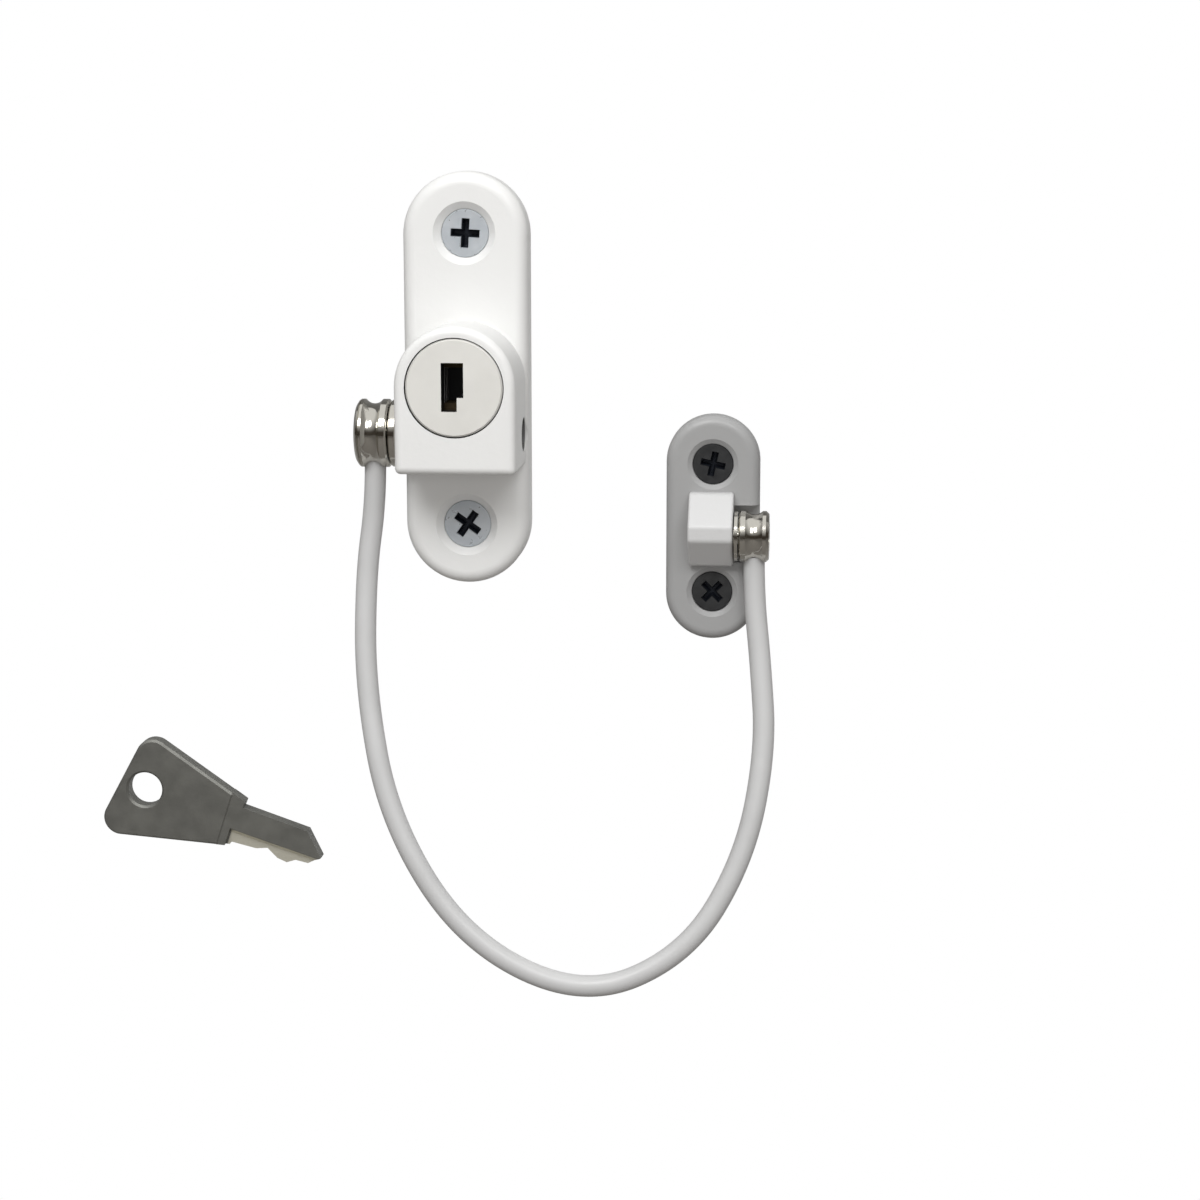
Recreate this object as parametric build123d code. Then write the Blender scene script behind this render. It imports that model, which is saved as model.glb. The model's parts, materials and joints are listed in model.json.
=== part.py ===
from build123d import *
import math
import os

# A window restrictor cable: a keyed lock, a sheathed steel cable that plugs into it
# on a grooved stud, and a small keeper plate for the sash.
#
# Millimetres. X runs from the lock to the keeper, Z is up and the front faces -Y.
# The back faces of both plates lie in the plane y = 0, and the origin is the middle
# of the lock plate's back face, in line with the key plug. A "height" is a distance
# in front of that plane, so y = -height. Screws reach behind it, at heights below 0.

# ---- clearances ----
RUN_GAP = 0.06
SLIDE_GAP = 0.1
LOOSE_GAP = 0.12
CUT_PAST = 1.0

# ---- lock plate and housing ----
PLATE_LENGTH = 72.5
PLATE_WIDTH = 22.0
PLATE_THICKNESS = 6.0
PLATE_EDGE_RADIUS = 2.2
HOUSING_RADIUS = 10.5
HOUSING_DEPTH = 20.0
HOUSING_BOTTOM = -15.0
HOUSING_EDGE_RADIUS = 1.3
HOUSING_CORNER_RADIUS = 1.0
LOCK_SCREW_SPACING = 51.2

# ---- key plug ----
PLUG_FACE_RADIUS = 8.4
PLUG_FACE_THICKNESS = 2.8
PLUG_POCKET_RADIUS = 8.6
PLUG_EDGE = 0.3
BARREL_RADIUS = 5.6
BARREL_BACK = 9.25
GROOVE_RADIUS = 5.0
GROOVE_HEIGHTS = (9.6, 10.1)
CLIP_INNER_RADIUS = 5.05
CLIP_OUTER_RADIUS = 6.1
CLIP_HEIGHTS = (9.63, 10.08)
CLIP_MOUTH = 4.4
KEYWAY_BACK = 10.9
KEYWAY_TOP = 4.3
KEYWAY_SLOT_X = (-2.2, 0.5)
KEYWAY_SLOT_BOTTOM = -4.05
KEYWAY_STEP_X = (0.4, 1.65)
KEYWAY_STEP_BOTTOM = -1.65

# ---- wafers and their springs ----
WAFER_HEIGHTS = (15.7, 13.8, 11.9)
WAFER_THICKNESS = 0.8
WAFER_HALF_WIDTH = 2.9
WAFER_HALF_LENGTH = 4.6
WAFER_WINDOW_X = (-2.3, 1.75)
WAFER_WINDOW_Z = (-2.9, 3.2)
WAFER_LUG_END = 4.4
WAFER_LUG_Z = (-0.3, 0.5)
SPRING_X = 3.75
SPRING_RADIUS = 0.32
SPRING_WIRE_RADIUS = 0.1
SPRING_PITCH = 0.6
SPRING_Z = (-2.9, -0.5)
SPRING_POCKET_BOTTOM = -3.1

# ---- bolt, drive pin and back cover ----
CAVITY_HALF_WIDTH = 4.0
CAVITY_HEIGHT = 9.35
CAVITY_Z = (-5.6, 4.4)
BOLT_HALF_WIDTH = 3.7
BOLT_HEIGHTS = (6.2, 9.1)
BOLT_Z = (-3.7, 3.9)
TONGUE_HALF_WIDTH = 1.3
TONGUE_BOTTOM = -5.9
TONGUE_SLOT_HALF_WIDTH = 1.45
TONGUE_SLOT_Z = (-7.2, -5.5)
BOLT_SLOT_X = (-1.25, 2.95)
BOLT_SLOT_Z = (-1.55, 1.1)
DRIVE_PIN_RADIUS = 1.0
DRIVE_PIN_X = 1.7
DRIVE_PIN_HEIGHTS = (6.6, 10.4)
COVER_HALF_WIDTH = 7.4
COVER_THICKNESS = 1.25
COVER_Z = (-6.9, 9.9)
COVER_CORNER_RADIUS = 1.0
COVER_PAD_HALF_WIDTH = 3.8
COVER_PAD_HEIGHT = 6.05
COVER_PAD_Z = (-5.4, 4.2)
COVER_SCREW_X = 5.2
COVER_SCREW_Z = 8.0
COVER_SCREW_HEAD_RADIUS = 1.75
COVER_SCREW_SHANK_RADIUS = 0.9
COVER_SCREW_LENGTH = 5.0
COVER_SCREW_SLOT = (0.4, 0.45)

# ---- stud, lock-end barrel and its cable seat ----
STUD_HEIGHT = 7.7
STUD_Z = -9.2
STUD_RADIUS = 2.96
STUD_TIP_RADIUS = 2.2
STUD_TIP_X = 5.0
STUD_TAPER_X = 4.2
STUD_BORE_RADIUS = 3.05
STUD_GROOVE_HALF_WIDTH = 1.5
STUD_GROOVE_RADIUS = 1.5
COLLAR_X = (-12.8, -11.3)
COLLAR_RADIUS = 5.9
COLLAR_EDGE = 0.3
SPINDLE_RADIUS = 1.7
SPINDLE_END_X = -18.6
RETAINER_RADIUS = 3.3
RETAINER_THICKNESS = 0.7
LOCK_BARREL_RADIUS = 6.0
LOCK_BARREL_WAIST = 5.2
LOCK_CABLE_X = -15.9

# ---- cable ----
CABLE_RADIUS = 1.9
SHEATH_BORE_RADIUS = 1.2
CORE_RADIUS = 1.15
CABLE_SEAT_RADIUS = 1.95
LOCK_SEAT_DEPTHS = (4.4, 2.2)
KEEPER_SEAT_DEPTHS = (3.4, 1.9)
LOCK_FERRULE_RADIUS = 1.52
KEEPER_FERRULE_RADIUS = 1.5
FERRULE_SEAT_RADIUS = 1.58
FERRULE_TOP_GAP = 0.15

# The cable's middle line from the lock's barrel to the keeper's. It hangs below both
# plates and stands forward of them.
CABLE_ROUTE = [
    (-15.9, -7.7, -13.7),
    (-15.9, -7.7, -21.0),
    (-17.6, -9.4, -34.0),
    (-17.4, -13.2, -54.0),
    (-12.4, -18.6, -77.0),
    (1.4, -21.8, -97.6),
    (22.5, -22.8, -107.0),
    (40.4, -21.0, -99.0),
    (50.2, -17.2, -82.5),
    (53.6, -12.6, -64.0),
    (52.4, -8.6, -49.0),
    (51.0, -6.5, -37.0),
    (51.0, -6.5, -30.4),
]

# ---- keeper ----
KEEPER_X = 43.5
KEEPER_Z = -26.0
KEEPER_LENGTH = 40.0
KEEPER_WIDTH = 16.5
KEEPER_THICKNESS = 4.0
KEEPER_EDGE_RADIUS = 1.7
KEEPER_SCREW_SPACING = 22.8
HUMP_X = (39.4, 47.3)
HUMP_TOP = 10.3
HUMP_SHOULDER = 5.6
HUMP_FOOT = 0.5
HUMP_RIDGES = (1.2, -1.4)
HUMP_HALF_LENGTH = 6.5
HUMP_DRAFT = 0.1
HUMP_RIDGE_RADIUS = 1.2
HUMP_END_RADIUS = 0.5
NOTCH_FLOOR = 1.5
NOTCH_Z = (-32.0, -21.8)
PIN_HEIGHT = 6.5
PIN_Z = -26.9
PIN_RADIUS = 1.48
PIN_BORE_RADIUS = 1.55
PIN_HEAD_RADIUS = 2.2
PIN_HEAD_THICKNESS = 0.55
PIN_RIVET_RADIUS = 2.4
PIN_RIVET_X = (53.0, 53.5)
WASHER_X = (47.55, 48.15)
WASHER_RADIUS = 4.4
KEEPER_BARREL_RADIUS = 4.5
KEEPER_BARREL_WAIST = 3.9
KEEPER_CABLE_X = 51.0

# ---- self-drilling countersunk screws ----
LOCK_SCREW = {"head": 4.15, "shank": 2.1, "length": 32.0, "top": 4.8, "land_end": -1.5, "sink": 5.5}
KEEPER_SCREW = {"head": 3.55, "shank": 1.75, "length": 25.0, "top": 3.4, "land_end": -1.2, "sink": 4.5}
LOCK_SCREW_TURNS = {1: 3, -1: 35}
KEEPER_SCREW_TURNS = {1: 12, -1: 45}
HEAD_RIM = 0.3
HEAD_EDGE = 0.12
NECK_SHARE = 0.85
LAND_TOP = -0.1
THREAD_PITCH = 1.4
THREAD_FLANK = 0.4
THREAD_CORE = 0.74
DRILL_LENGTH = 4.6
DRILL_CONE = 1.6
FLUTE_LENGTH = 5.2
RECESS_REACH = 1.24
RECESS_WIDTH = 0.34
RECESS_DEPTH = 0.5
RECESS_TAPER = 12

# ---- key, drawn with u along the blade and v across it, from the upper shoulder ----
KEY_PLACE = (-42.0, -79.0)
KEY_ANGLE = -18.4
KEY_THICKNESS = 3.4
KEY_OUTLINE = [(-0.3, 0.8), (-21.5, 7.3), (-25.4, -14.2), (-0.8, -8.2)]
KEY_CORNER_RADIUS = 3.2
KEY_EDGE = 0.4
KEY_HOLE = (-18.6, -3.2)
KEY_HOLE_RADIUS = 3.15
KEY_NECK_U = -2.7
KEY_NECK_DEPTH = 0.25
BLADE_TOP = [(-1.5, -0.4), (12.3, -0.6), (16.2, -4.65)]
BLADE_BITTING = [(14.1, -6.7), (11.7, -6.9), (10.3, -7.9), (8.4, -7.7), (6.1, -6.5), (4.1, -7.3), (1.4, -7.5)]
BLADE_ROOT = (-1.5, -7.7)
BLADE_LAND_V = (-4.9, -5.8)
BLADE_LAND_DEPTH = 1.1


# ---- drawing helpers ----
def forward(sketch, heights):
    """A sketch of the front view, made solid between two heights."""
    low, high = heights
    return extrude(Plane.XZ.offset(low) * sketch, high - low)


def block(x_range, heights, z_range):
    """A box given by its limits."""
    y_range = (-heights[1], -heights[0])
    ranges = (x_range, y_range, z_range)
    middle = [(low + high) / 2 for low, high in ranges]
    size = [high - low for low, high in ranges]
    return Pos(*middle) * Box(*size)


def both_sides(half_width):
    """The range from minus to plus a half width."""
    return (-half_width, half_width)


def rod_forward(radius, heights, x=0.0, z=0.0):
    """A round rod that points forward."""
    return forward(Pos(x, z) * Circle(radius), heights)


def rod_across(radius, x_range, height, z):
    """A round rod along X."""
    low, high = x_range
    return Pos((low + high) / 2, -height, z) * Rot(0, 90, 0) * Cylinder(radius, high - low)


def rod_up(radius, z_range, x, height):
    """A round rod along Z."""
    low, high = z_range
    return Pos(x, -height, (low + high) / 2) * Cylinder(radius, high - low)


def turned_across(outline, height, z):
    """A piece turned about an axis along X, from a closed outline in (x, radius)."""
    return Pos(0, -height, z) * revolve(make_face(outline), Axis.X, 360)


def turned_forward(outline, x, z):
    """A piece turned about an axis that points forward, from points in (radius, height)."""
    points = [(radius, -height) for radius, height in outline]
    return Pos(x, 0, z) * revolve(make_face(Polyline(*points, close=True)), Axis.Y, 360)


def front_edges(solid):
    """The edges of a solid's foremost face."""
    return solid.faces().sort_by(Axis.Y)[0].edges()


def fused(solids):
    """Several solids joined into one."""
    joined = solids[0]
    for solid in solids[1:]:
        joined += solid
    return joined


# ---- screws ----
def thread_outline(screw):
    """The screw behind its plate as (radius, height) points: a land, a ridge for every turn, the drill point."""
    shank = screw["shank"]
    core = THREAD_CORE * shank
    tip = screw["top"] - screw["length"]
    height = screw["land_end"]
    points = [(shank, LAND_TOP), (shank, height), (core, height - THREAD_FLANK)]
    while height - THREAD_PITCH > tip + DRILL_LENGTH:
        height -= THREAD_PITCH
        points.append((core, height + THREAD_FLANK))
        points.append((shank, height))
        points.append((core, height - THREAD_FLANK))
    return points + [(core, tip + DRILL_CONE), (0, tip)]


def screw_recess(screw, x, z, turn):
    """The tapered cross cut into a screw's head."""
    reach = RECESS_REACH * screw["head"]
    width = RECESS_WIDTH * screw["head"]
    cross = Rectangle(reach, width) + Rectangle(width, reach)
    face = Plane(origin=(x, -screw["top"], z), x_dir=(1, 0, 0), z_dir=(0, 1, 0))
    return extrude(face * (Rot(0, 0, turn) * cross), RECESS_DEPTH * screw["head"], taper=RECESS_TAPER)


def drill_flutes(screw, x, z):
    """The two grooves along the drill point."""
    core = THREAD_CORE * screw["shank"]
    tip = screw["top"] - screw["length"]
    heights = (tip - CUT_PAST, tip + FLUTE_LENGTH)
    return fused([rod_forward(core / 2, heights, x + side * core, z) for side in (1, -1)])


def seated_screw(screw, x, z, turn):
    """A countersunk screw in its plate, its cross turned by an angle."""
    head = screw["head"]
    top = screw["top"]
    neck = NECK_SHARE * screw["shank"]
    head_outline = [
        (0, top),
        (head - HEAD_EDGE, top),
        (head, top - HEAD_EDGE),
        (head, top - HEAD_RIM),
        (neck, top - HEAD_RIM - (head - neck)),
        (neck, LAND_TOP),
    ]
    body = turned_forward(head_outline + thread_outline(screw), x, z)
    return body - screw_recess(screw, x, z, turn) - drill_flutes(screw, x, z)


def screw_seat(screw, thickness, x, z):
    """The hole for a screw: a sunk cone at the face, the head's own cone and a clear shank hole."""
    seat = screw["head"] + LOOSE_GAP
    hole = screw["shank"] + LOOSE_GAP
    rim_foot = screw["top"] - HEAD_RIM
    outline = [
        (0, thickness + CUT_PAST),
        (screw["sink"], thickness + CUT_PAST),
        (screw["sink"], thickness),
        (seat, screw["top"]),
        (seat, rim_foot),
        (hole, rim_foot - (seat - hole)),
        (hole, -CUT_PAST),
        (0, -CUT_PAST),
    ]
    return turned_forward(outline, x, z)


def screw_pair(screw, x, z, spacing, turns):
    """The two screws of a plate, above and below its middle."""
    return Compound([seated_screw(screw, x, z + side * spacing / 2, turns[side]) for side in (1, -1)])


# ---- lock body ----
def lock_shell():
    """The plate and its raised housing, a round arch on a square foot, before any hole is cut."""
    plate = forward(SlotOverall(PLATE_LENGTH, PLATE_WIDTH, rotation=90), (0, PLATE_THICKNESS))
    plate = fillet(front_edges(plate), PLATE_EDGE_RADIUS)
    foot = Pos(0, HOUSING_BOTTOM / 2) * Rectangle(2 * HOUSING_RADIUS, -HOUSING_BOTTOM)
    outline = Circle(HOUSING_RADIUS) + foot
    outline = fillet(outline.vertices().group_by(Axis.Y)[0], HOUSING_CORNER_RADIUS)
    housing = forward(outline, (0, HOUSING_DEPTH))
    housing = fillet(front_edges(housing), HOUSING_EDGE_RADIUS)
    return plate + housing


def plug_pocket():
    """The stepped hole that the plug turns in, wider behind for its clip."""
    shoulder = HOUSING_DEPTH - PLUG_FACE_THICKNESS - SLIDE_GAP
    mouth = rod_forward(PLUG_POCKET_RADIUS, (shoulder, HOUSING_DEPTH + CUT_PAST))
    bore = rod_forward(BARREL_RADIUS + RUN_GAP, (BARREL_BACK - SLIDE_GAP, HOUSING_DEPTH))
    clip_room = rod_forward(CLIP_OUTER_RADIUS + SLIDE_GAP, (CAVITY_HEIGHT, CLIP_HEIGHTS[1] + LOOSE_GAP))
    return fused([mouth, bore, clip_room])


def cover_screw_rods(radius, heights):
    """Round rods at the places of the two cover screws."""
    return [rod_forward(radius, heights, side * COVER_SCREW_X, COVER_SCREW_Z) for side in (1, -1)]


def mechanism_room():
    """The room behind the plug, open at the back, and the slot that leads the bolt's tongue to the stud."""
    cavity = block(both_sides(CAVITY_HALF_WIDTH), (-CUT_PAST, CAVITY_HEIGHT), CAVITY_Z)
    slot_heights = (COVER_PAD_HEIGHT, CAVITY_HEIGHT)
    slot = block(both_sides(TONGUE_SLOT_HALF_WIDTH), slot_heights, TONGUE_SLOT_Z)
    recess_z = (COVER_Z[0] - SLIDE_GAP, COVER_Z[1] + SLIDE_GAP)
    recess_heights = (-CUT_PAST, COVER_THICKNESS + RUN_GAP)
    recess = block(both_sides(COVER_HALF_WIDTH + SLIDE_GAP), recess_heights, recess_z)
    pilots = cover_screw_rods(COVER_SCREW_SHANK_RADIUS + RUN_GAP, (0, COVER_SCREW_LENGTH + SLIDE_GAP))
    return fused([cavity, slot, recess] + pilots)


def make_lock_housing():
    body = lock_shell() - plug_pocket() - mechanism_room()
    through = both_sides(HOUSING_RADIUS + CUT_PAST)
    body -= rod_across(STUD_BORE_RADIUS, through, STUD_HEIGHT, STUD_Z)
    for side in (1, -1):
        body -= screw_seat(LOCK_SCREW, PLATE_THICKNESS, 0, side * LOCK_SCREW_SPACING / 2)
    return body


def make_lock_back_cover():
    """The cover let into the back, with a pad that holds the bolt up against the plug."""
    tall = COVER_Z[1] - COVER_Z[0]
    outline = Pos(0, COVER_Z[0] + tall / 2) * RectangleRounded(2 * COVER_HALF_WIDTH, tall, COVER_CORNER_RADIUS)
    cover = forward(outline, (0, COVER_THICKNESS))
    cover += block(both_sides(COVER_PAD_HALF_WIDTH), (COVER_THICKNESS, COVER_PAD_HEIGHT), COVER_PAD_Z)
    for hole in cover_screw_rods(COVER_SCREW_SHANK_RADIUS + SLIDE_GAP, (-CUT_PAST, COVER_THICKNESS + CUT_PAST)):
        cover -= hole
    for side in (1, -1):
        cover -= cover_screw_cone(side, LOOSE_GAP)
    return cover


def cover_screw_cone(side, gap):
    """The countersunk head of a cover screw, or its seat when a gap is added."""
    head = COVER_SCREW_HEAD_RADIUS + gap
    shank = COVER_SCREW_SHANK_RADIUS + gap
    outline = [(0, 0), (head, 0), (shank, head - shank), (0, head - shank)]
    return turned_forward(outline, side * COVER_SCREW_X, COVER_SCREW_Z)


def cover_screw(side):
    """One slotted screw that holds the back cover."""
    x = side * COVER_SCREW_X
    head_height = COVER_SCREW_HEAD_RADIUS - COVER_SCREW_SHANK_RADIUS
    width, depth = COVER_SCREW_SLOT
    shank = rod_forward(COVER_SCREW_SHANK_RADIUS, (head_height / 2, COVER_SCREW_LENGTH), x, COVER_SCREW_Z)
    slot_x = (x - COVER_SCREW_HEAD_RADIUS - CUT_PAST, x + COVER_SCREW_HEAD_RADIUS + CUT_PAST)
    slot = block(slot_x, (-CUT_PAST, depth), (COVER_SCREW_Z - width / 2, COVER_SCREW_Z + width / 2))
    return cover_screw_cone(side, 0) + shank - slot


def make_cover_screws():
    return Compound([cover_screw(side) for side in (1, -1)])


# ---- key plug ----
def keyway():
    """The key's stepped slot, cut from the front."""
    heights = (KEYWAY_BACK, HOUSING_DEPTH + CUT_PAST)
    slot = block(KEYWAY_SLOT_X, heights, (KEYWAY_SLOT_BOTTOM, KEYWAY_TOP))
    step = block(KEYWAY_STEP_X, heights, (KEYWAY_STEP_BOTTOM, KEYWAY_TOP))
    return slot + step


def wafer_slot(height):
    """The slot through the barrel for one wafer, with the side pocket for its lug and spring."""
    half = WAFER_THICKNESS / 2 + RUN_GAP
    heights = (height - half, height + half)
    slot = block(both_sides(WAFER_HALF_WIDTH + SLIDE_GAP), heights, both_sides(BARREL_RADIUS + CUT_PAST))
    pocket_x = (WAFER_HALF_WIDTH, WAFER_LUG_END + SLIDE_GAP)
    pocket = block(pocket_x, heights, (SPRING_POCKET_BOTTOM, WAFER_LUG_Z[1] + SLIDE_GAP))
    return slot + pocket


def make_key_plug():
    """The plug: its face, its barrel and every slot in them."""
    shoulder = HOUSING_DEPTH - PLUG_FACE_THICKNESS
    face = rod_forward(PLUG_FACE_RADIUS, (shoulder, HOUSING_DEPTH))
    face = chamfer(front_edges(face), PLUG_EDGE)
    plug = face + rod_forward(BARREL_RADIUS, (BARREL_BACK, shoulder))
    plug -= rod_forward(PLUG_FACE_RADIUS, GROOVE_HEIGHTS) - rod_forward(GROOVE_RADIUS, GROOVE_HEIGHTS)
    plug -= keyway()
    for height in WAFER_HEIGHTS:
        plug -= wafer_slot(height)
    pin_hole = (BARREL_BACK - CUT_PAST, DRIVE_PIN_HEIGHTS[1])
    return plug - rod_forward(DRIVE_PIN_RADIUS, pin_hole, DRIVE_PIN_X)


def wafer(height):
    """One wafer tumbler, with a window for the key and a lug for its spring."""
    half = WAFER_THICKNESS / 2
    heights = (height - half, height + half)
    plate = block(both_sides(WAFER_HALF_WIDTH), heights, both_sides(WAFER_HALF_LENGTH))
    window = block(WAFER_WINDOW_X, (heights[0] - CUT_PAST, heights[1] + CUT_PAST), WAFER_WINDOW_Z)
    lug = block((WAFER_HALF_WIDTH, WAFER_LUG_END), heights, WAFER_LUG_Z)
    return plate + lug - window


def make_wafer_tumblers():
    return Compound([wafer(height) for height in WAFER_HEIGHTS])


def wafer_spring(height):
    """The coil spring under one wafer's lug."""
    low, high = SPRING_Z
    coil = Helix(SPRING_PITCH, high - low, SPRING_RADIUS)
    section = Plane(origin=coil @ 0, z_dir=coil % 0) * Circle(SPRING_WIRE_RADIUS)
    return Pos(SPRING_X, -height, low) * sweep(section, path=coil, is_frenet=True)


def make_wafer_springs():
    return Compound([wafer_spring(height) for height in WAFER_HEIGHTS])


def make_plug_clip():
    """The open ring in the barrel's groove that keeps the plug from coming out."""
    ring = rod_forward(CLIP_OUTER_RADIUS, CLIP_HEIGHTS) - rod_forward(CLIP_INNER_RADIUS, CLIP_HEIGHTS)
    return ring - block(both_sides(CLIP_MOUTH / 2), CLIP_HEIGHTS, (0, CLIP_OUTER_RADIUS + CUT_PAST))


def make_drive_pin():
    return rod_forward(DRIVE_PIN_RADIUS, DRIVE_PIN_HEIGHTS, DRIVE_PIN_X)


def make_locking_bolt():
    """The bolt, drawn back: the drive pin works in its cross slot, and its tongue points at the stud's groove."""
    bolt = block(both_sides(BOLT_HALF_WIDTH), BOLT_HEIGHTS, BOLT_Z)
    bolt += block(both_sides(TONGUE_HALF_WIDTH), BOLT_HEIGHTS, (TONGUE_BOTTOM, BOLT_Z[0]))
    return bolt - block(BOLT_SLOT_X, (0, HOUSING_DEPTH), BOLT_SLOT_Z)


# ---- stud and cable ends ----
def make_stud_pin():
    """The turned stud: a grooved shank that plugs into the lock, a collar, and the spindle of the barrel."""
    collar_left, collar_right = COLLAR_X
    outline = Polyline(
        (SPINDLE_END_X, 0),
        (SPINDLE_END_X, SPINDLE_RADIUS),
        (collar_left, SPINDLE_RADIUS),
        (collar_left, COLLAR_RADIUS - COLLAR_EDGE),
        (collar_left + COLLAR_EDGE, COLLAR_RADIUS),
        (collar_right - COLLAR_EDGE, COLLAR_RADIUS),
        (collar_right, COLLAR_RADIUS - COLLAR_EDGE),
        (collar_right, STUD_RADIUS),
        (-STUD_GROOVE_HALF_WIDTH, STUD_RADIUS),
        (-STUD_GROOVE_HALF_WIDTH, STUD_GROOVE_RADIUS),
        (STUD_GROOVE_HALF_WIDTH, STUD_GROOVE_RADIUS),
        (STUD_GROOVE_HALF_WIDTH, STUD_RADIUS),
        (STUD_TAPER_X, STUD_RADIUS),
        (STUD_TIP_X, STUD_TIP_RADIUS),
        (STUD_TIP_X, 0),
        close=True,
    )
    return turned_across(outline, STUD_HEIGHT, STUD_Z)


def make_stud_retainer():
    """The washer staked on the spindle's end, sunk in the barrel's outer face."""
    x_range = (SPINDLE_END_X, SPINDLE_END_X + RETAINER_THICKNESS)
    ring = rod_across(RETAINER_RADIUS, x_range, STUD_HEIGHT, STUD_Z)
    return ring - rod_across(SPINDLE_RADIUS + RUN_GAP / 2, x_range, STUD_HEIGHT, STUD_Z)


def cable_seat(x, height, z, radius, depths):
    """The stepped hole in a barrel's underside, for the cable and for the ferrule above it."""
    sheath_depth, ferrule_depth = depths
    sheath = rod_up(CABLE_SEAT_RADIUS, (z - radius - CUT_PAST, z - sheath_depth), x, height)
    return sheath + rod_up(FERRULE_SEAT_RADIUS, (z - sheath_depth, z - ferrule_depth), x, height)


def crimp_ferrule(x, height, z, radius, depths):
    """The sleeve crimped on the bare end of the steel core."""
    sheath_depth, ferrule_depth = depths
    z_range = (z - sheath_depth, z - ferrule_depth - FERRULE_TOP_GAP)
    return rod_up(radius, z_range, x, height) - rod_up(SHEATH_BORE_RADIUS, z_range, x, height)


def make_lock_end_barrel():
    """The lock-side swivel barrel: a rim with a fine line round it, a flange, a soft waist and a flange."""
    bore = SPINDLE_RADIUS + RUN_GAP
    rim = Polyline(
        (-18.8, RETAINER_RADIUS + 0.2),
        (-18.8, LOCK_BARREL_WAIST),
        (-18.4, LOCK_BARREL_RADIUS - 0.2),
        (-18.1, LOCK_BARREL_RADIUS),
        (-18.0, LOCK_BARREL_RADIUS - 0.15),
        (-17.9, LOCK_BARREL_RADIUS),
        (-17.5, LOCK_BARREL_RADIUS),
    )
    waist = ThreePointArc(
        (-17.5, LOCK_BARREL_RADIUS), (LOCK_CABLE_X, LOCK_BARREL_WAIST), (-14.3, LOCK_BARREL_RADIUS)
    )
    inside = Polyline(
        (-14.3, LOCK_BARREL_RADIUS),
        (-13.3, LOCK_BARREL_RADIUS),
        (-13.0, LOCK_BARREL_RADIUS - COLLAR_EDGE),
        (-13.0, bore),
        (-17.8, bore),
        (-17.8, RETAINER_RADIUS + 0.2),
        (-18.8, RETAINER_RADIUS + 0.2),
    )
    barrel = turned_across(rim + waist + inside, STUD_HEIGHT, STUD_Z)
    return barrel - cable_seat(LOCK_CABLE_X, STUD_HEIGHT, STUD_Z, LOCK_BARREL_RADIUS, LOCK_SEAT_DEPTHS)


def make_keeper_end_barrel():
    """The keeper-side swivel barrel, smaller than the lock's."""
    bore = PIN_BORE_RADIUS
    left = Polyline(
        (48.35, bore),
        (48.35, KEEPER_BARREL_RADIUS - COLLAR_EDGE),
        (48.65, KEEPER_BARREL_RADIUS),
        (49.5, KEEPER_BARREL_RADIUS),
    )
    waist = ThreePointArc(
        (49.5, KEEPER_BARREL_RADIUS), (KEEPER_CABLE_X, KEEPER_BARREL_WAIST), (52.5, KEEPER_BARREL_RADIUS)
    )
    right = Polyline(
        (52.5, KEEPER_BARREL_RADIUS),
        (53.1, KEEPER_BARREL_RADIUS),
        (53.6, KEEPER_BARREL_RADIUS - 0.5),
        (53.6, PIN_RIVET_RADIUS + 0.2),
        (52.85, PIN_RIVET_RADIUS + 0.2),
        (52.85, bore),
        (48.35, bore),
    )
    barrel = turned_across(left + waist + right, PIN_HEIGHT, PIN_Z)
    return barrel - cable_seat(KEEPER_CABLE_X, PIN_HEIGHT, PIN_Z, KEEPER_BARREL_RADIUS, KEEPER_SEAT_DEPTHS)


# ---- cable ----
def corner_radii(points):
    """The widest bend for each corner: 0.45 of its shorter run over the tangent of half the turn."""
    radii = []
    for before, corner, after in zip(points, points[1:], points[2:]):
        run_in = Vector(*corner) - Vector(*before)
        run_out = Vector(*after) - Vector(*corner)
        half_turn = math.radians(run_in.get_angle(run_out) / 2)
        radii.append(0.45 * min(run_in.length, run_out.length) / math.tan(half_turn))
    return radii


def cable_path(start_z, end_z):
    """The cable's middle line, straight runs joined by tangent arcs, with its ends at two levels."""
    start = CABLE_ROUTE[0][:2] + (start_z,)
    end = CABLE_ROUTE[-1][:2] + (end_z,)
    points = [start] + CABLE_ROUTE[1:-1] + [end]
    return FilletPolyline(*points, radius=corner_radii(CABLE_ROUTE))


def tube_along(path, section):
    """A section swept along a path."""
    return sweep(Plane(origin=path @ 0, z_dir=path % 0) * section, path=path)


def make_cable_sheath():
    path = cable_path(CABLE_ROUTE[0][2], CABLE_ROUTE[-1][2])
    section = Circle(CABLE_RADIUS) - Circle(SHEATH_BORE_RADIUS)
    sheath = tube_along(path, section)
    print("bend radii", [round(radius, 1) for radius in corner_radii(CABLE_ROUTE)])
    print("sheath length", round(path.length, 1))
    print("volume over section times length", round(sheath.volume / (section.area * path.length), 4))
    return sheath


def make_cable_core():
    """The steel rope inside the sheath, bare at both ends where the ferrules grip it."""
    start_z = STUD_Z - LOCK_SEAT_DEPTHS[1] - FERRULE_TOP_GAP
    end_z = PIN_Z - KEEPER_SEAT_DEPTHS[1] - FERRULE_TOP_GAP
    return tube_along(cable_path(start_z, end_z), Circle(CORE_RADIUS))


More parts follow.
